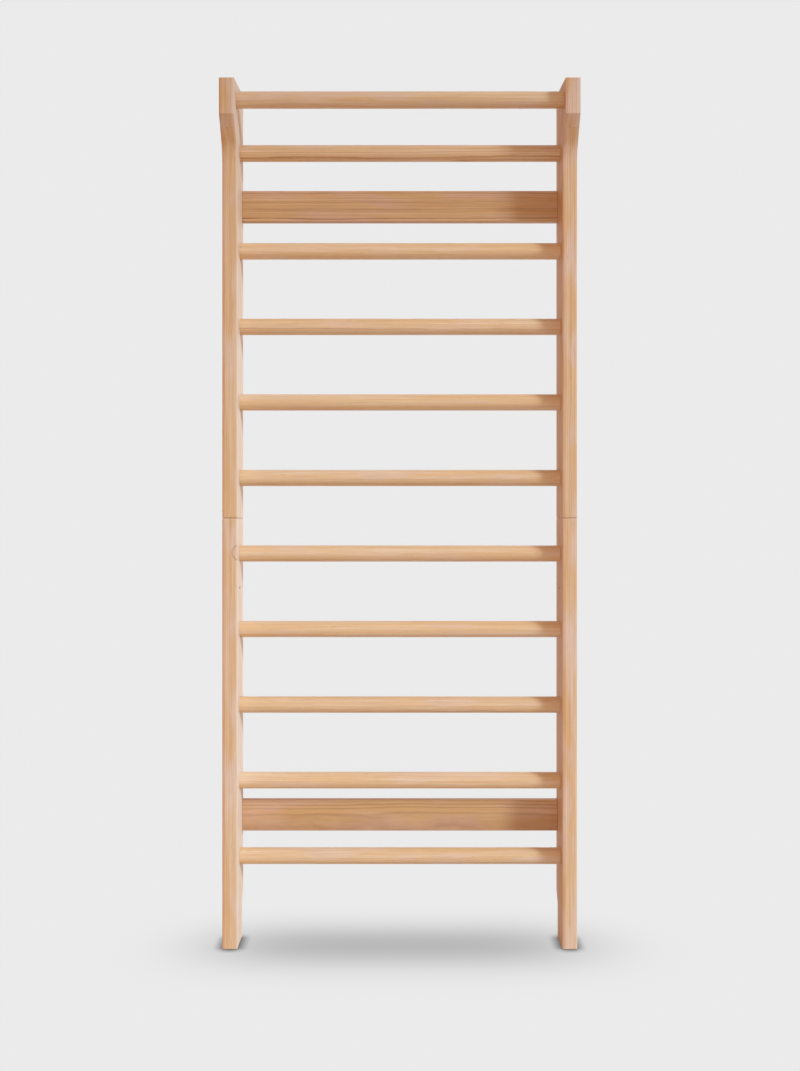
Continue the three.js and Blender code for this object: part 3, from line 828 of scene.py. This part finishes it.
# Screws: each is turned about X, then half turned about Y where its head faces +X
RUNG_SCREW = (SCREW_SHANK, SCREW_HEAD, SCREW_HEAD_LENGTH, RUNG_SCREW_LENGTH, SCREW_KEY, SCREW_KEY_DEPTH)
BOARD_SCREW = (SCREW_SHANK, SCREW_HEAD, SCREW_HEAD_LENGTH, BOARD_SCREW_LENGTH, SCREW_KEY, SCREW_KEY_DEPTH)
LOCK_SCREW = (LOCK_SCREW_SHANK, LOCK_SCREW_HEAD, LOCK_SCREW_HEAD_LENGTH, LOCK_SCREW_LENGTH,
              LOCK_SCREW_KEY, LOCK_SCREW_KEY_DEPTH)

for side_name, side in SIDES.items():
    screws = [
        (node, sizes, side, zinc, "zinc_steel")
        for stem, sizes in (("rung_screw", RUNG_SCREW), ("board_screw", BOARD_SCREW))
        for node in numbered(f"{stem}_{side_name}")
    ]
    screws += [(f"joint_lock_screw_{side_name}", LOCK_SCREW, -side, browned, "brown_steel")]
    for node, sizes, facing, steel, slot in screws:
        surface = screw_surface(*sizes)
        low, high = (np.array(corner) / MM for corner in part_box(node))
        head = (low + high) / 2
        head[0] = high[0] if facing > 0 else low[0]
        surface.points = surface.points * (-facing, 1, -facing) + head
        finished(surface, f"steel_{node}", steel, node, STEEL_SMOOTH_BELOW)
    carried = {f"joint_rod_{side_name}": zinc}
    carried |= {node: beech for node in numbered(f"joint_dowel_{side_name}")}
    for node, material in carried.items():
        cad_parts[node].data.materials.clear()
        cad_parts[node].data.materials.append(material)

# Camera: level and straight in front, at the distance that the photograph's perspective gives, in metres,
# with its lens in millimetres
CAMERA_HEIGHT = 1.0997
CAMERA_DISTANCE = 3.13
LENS = 40.98
SENSOR = 36
SHIFT_DOWN_PIXELS = 18.5
SHIFT_RIGHT_PIXELS = 0.2
FRAME_HEIGHT_PIXELS = 1071

camera = bpy.data.objects.new("camera", bpy.data.cameras.new("camera"))
camera.data.lens = LENS
camera.data.sensor_width = SENSOR
camera.data.shift_x = SHIFT_RIGHT_PIXELS / FRAME_HEIGHT_PIXELS
camera.data.shift_y = -SHIFT_DOWN_PIXELS / FRAME_HEIGHT_PIXELS
camera.location = (0, -CAMERA_DISTANCE, CAMERA_HEIGHT)
camera.rotation_euler = (math.pi / 2, 0, 0)
bpy.context.scene.collection.objects.link(camera)
bpy.context.scene.camera = camera

# Light and floor, in metres and watts
BACKGROUND = "#EBEBEB"
FLOOR_PAINT = "#E6E6E6"
FILL_COLOUR = (1.0, 0.68, 0.57, 1)
FILL_LIGHT = 0.495
KEY_COLOUR = (0.9, 1.15, 1.42)
BOX_COLOUR = (1.07, 1.06, 1.05)
KEY = {"distance": 10, "turn": math.radians(54), "rise": math.radians(28), "aim": 0.7}
KEY_POWER = 6000
KEY_SIZE = 1.8
KEY_CONE = math.radians(18.1)
# Soft boxes: each one's place, target, power, and size across and upright
SOFT_BOXES = {
    "front": ((-1.2, -6, 0.4), (0, 0, 0.9), 53, (2.5, 2.5)),
    "back": ((1.0, 3.4, 1.2), (0, 0, 1.0), 14, (1.6, 3.2)),
}
FLOOR_REACH = 8
SHADOW_DEPTH = 0.416
SHADOW_WIDTH = (0.5, 4)
SHADOW_LENGTH = (0.16, 2)
CONTACT_REACH = 0.028
CONTACT_POWER = 1.7

world = bpy.data.worlds.new("pale_studio")
bpy.context.scene.world = world
world.use_nodes = True
world.node_tree.nodes.clear()

floor_mesh = bpy.data.meshes.new("floor")
floor_corners = [(x * FLOOR_REACH, y * FLOOR_REACH, 0) for x, y in ((-1, -1), (1, -1), (1, 1), (-1, 1))]
floor_mesh.from_pydata(floor_corners, [], [(0, 1, 2, 3)])
floor = bpy.data.objects.new("floor", floor_mesh)
bpy.context.scene.collection.objects.link(floor)
paint = bpy.data.materials.new("pale_floor")
paint.use_nodes = True
paint.node_tree.nodes.clear()
floor_mesh.materials.append(paint)

# Painted shadow on the floor's glow: a soft oval under the frame that falls off evenly, and painted contact
# shade at the feet from the frame's ambient occlusion
tree = paint.node_tree
spot = add(tree, "ShaderNodeSeparateXYZ", [add(tree, "ShaderNodeTexCoord").outputs["Object"]])
falls = []
for axis, (reach, power) in (("X", SHADOW_WIDTH), ("Y", SHADOW_LENGTH)):
    away = add(tree, "ShaderNodeMath", [spot.outputs[axis], 1 / reach], operation="MULTIPLY")
    away = add(tree, "ShaderNodeMath", [away], operation="ABSOLUTE")
    falls.append(add(tree, "ShaderNodeMath", [away, power], operation="POWER"))
fall = add(tree, "ShaderNodeMath", falls, operation="ADD")
fall = add(tree, "ShaderNodeMath", [fall, -1], operation="MULTIPLY")
fall = add(tree, "ShaderNodeMath", [fall], operation="EXPONENT")
painted_shadow_oval = add(tree, "ShaderNodeMath", [fall, -SHADOW_DEPTH, 1], operation="MULTIPLY_ADD")
contact = add(tree, "ShaderNodeAmbientOcclusion", {"Distance": CONTACT_REACH}).outputs["AO"]
contact = add(tree, "ShaderNodeMath", [contact, CONTACT_POWER], operation="POWER")
shade = add(tree, "ShaderNodeMath", [painted_shadow_oval, contact], operation="MULTIPLY")
seen_floor = add(tree, "ShaderNodeEmission", {"Color": linear(BACKGROUND), "Strength": shade})
lit_floor = add(tree, "ShaderNodeBsdfDiffuse", {"Color": linear(FLOOR_PAINT)})

# The eye, and what metal and lacquer mirror, meet the pale background; other light meets a plain fill
seen_world = add(world.node_tree, "ShaderNodeBackground", {"Color": linear(BACKGROUND), "Strength": 1.0})
lit_world = add(world.node_tree, "ShaderNodeBackground", {"Color": FILL_COLOUR, "Strength": FILL_LIGHT})
for tree, seen, lit, output in (
    (world.node_tree, seen_world, lit_world, "ShaderNodeOutputWorld"),
    (paint.node_tree, seen_floor, lit_floor, "ShaderNodeOutputMaterial"),
):
    rays = add(tree, "ShaderNodeLightPath").outputs
    mirrored = add(tree, "ShaderNodeMath", [rays["Is Glossy Ray"], rays["Is Transmission Ray"]],
                   operation="MAXIMUM")
    share = add(tree, "ShaderNodeMath", [rays["Is Camera Ray"], mirrored], operation="MAXIMUM")
    mixed = add(tree, "ShaderNodeMixShader", [share, lit, seen])
    add(tree, output, {"Surface": mixed})


def lamp(name, kind, place, target, power, colour, **settings):
    """A lamp at a place in metres, turned towards a target."""
    light = bpy.data.lights.new(name, kind)
    light.energy = power
    light.color = colour
    for setting, value in settings.items():
        setattr(light, setting, value)
    holder = bpy.data.objects.new(name, light)
    holder.location = place
    holder.rotation_euler = (Vector(target) - Vector(place)).to_track_quat("-Z", "Y").to_euler()
    holder.visible_camera = False
    bpy.context.scene.collection.objects.link(holder)


level_distance = KEY["distance"] * math.cos(KEY["rise"])
key_place = (
    level_distance * math.sin(KEY["turn"]),
    -level_distance * math.cos(KEY["turn"]),
    KEY["aim"] + KEY["distance"] * math.sin(KEY["rise"]),
)
lamp("key", "SPOT", key_place, (0, 0, KEY["aim"]), KEY_POWER, KEY_COLOUR, shadow_soft_size=KEY_SIZE,
     spot_size=KEY_CONE, spot_blend=1.0)
for name, (place, target, power, (across, upright)) in SOFT_BOXES.items():
    lamp(name, "AREA", place, target, power, BOX_COLOUR, shape="RECTANGLE", size=across, size_y=upright)

bpy.context.scene.view_settings.view_transform = "Standard"
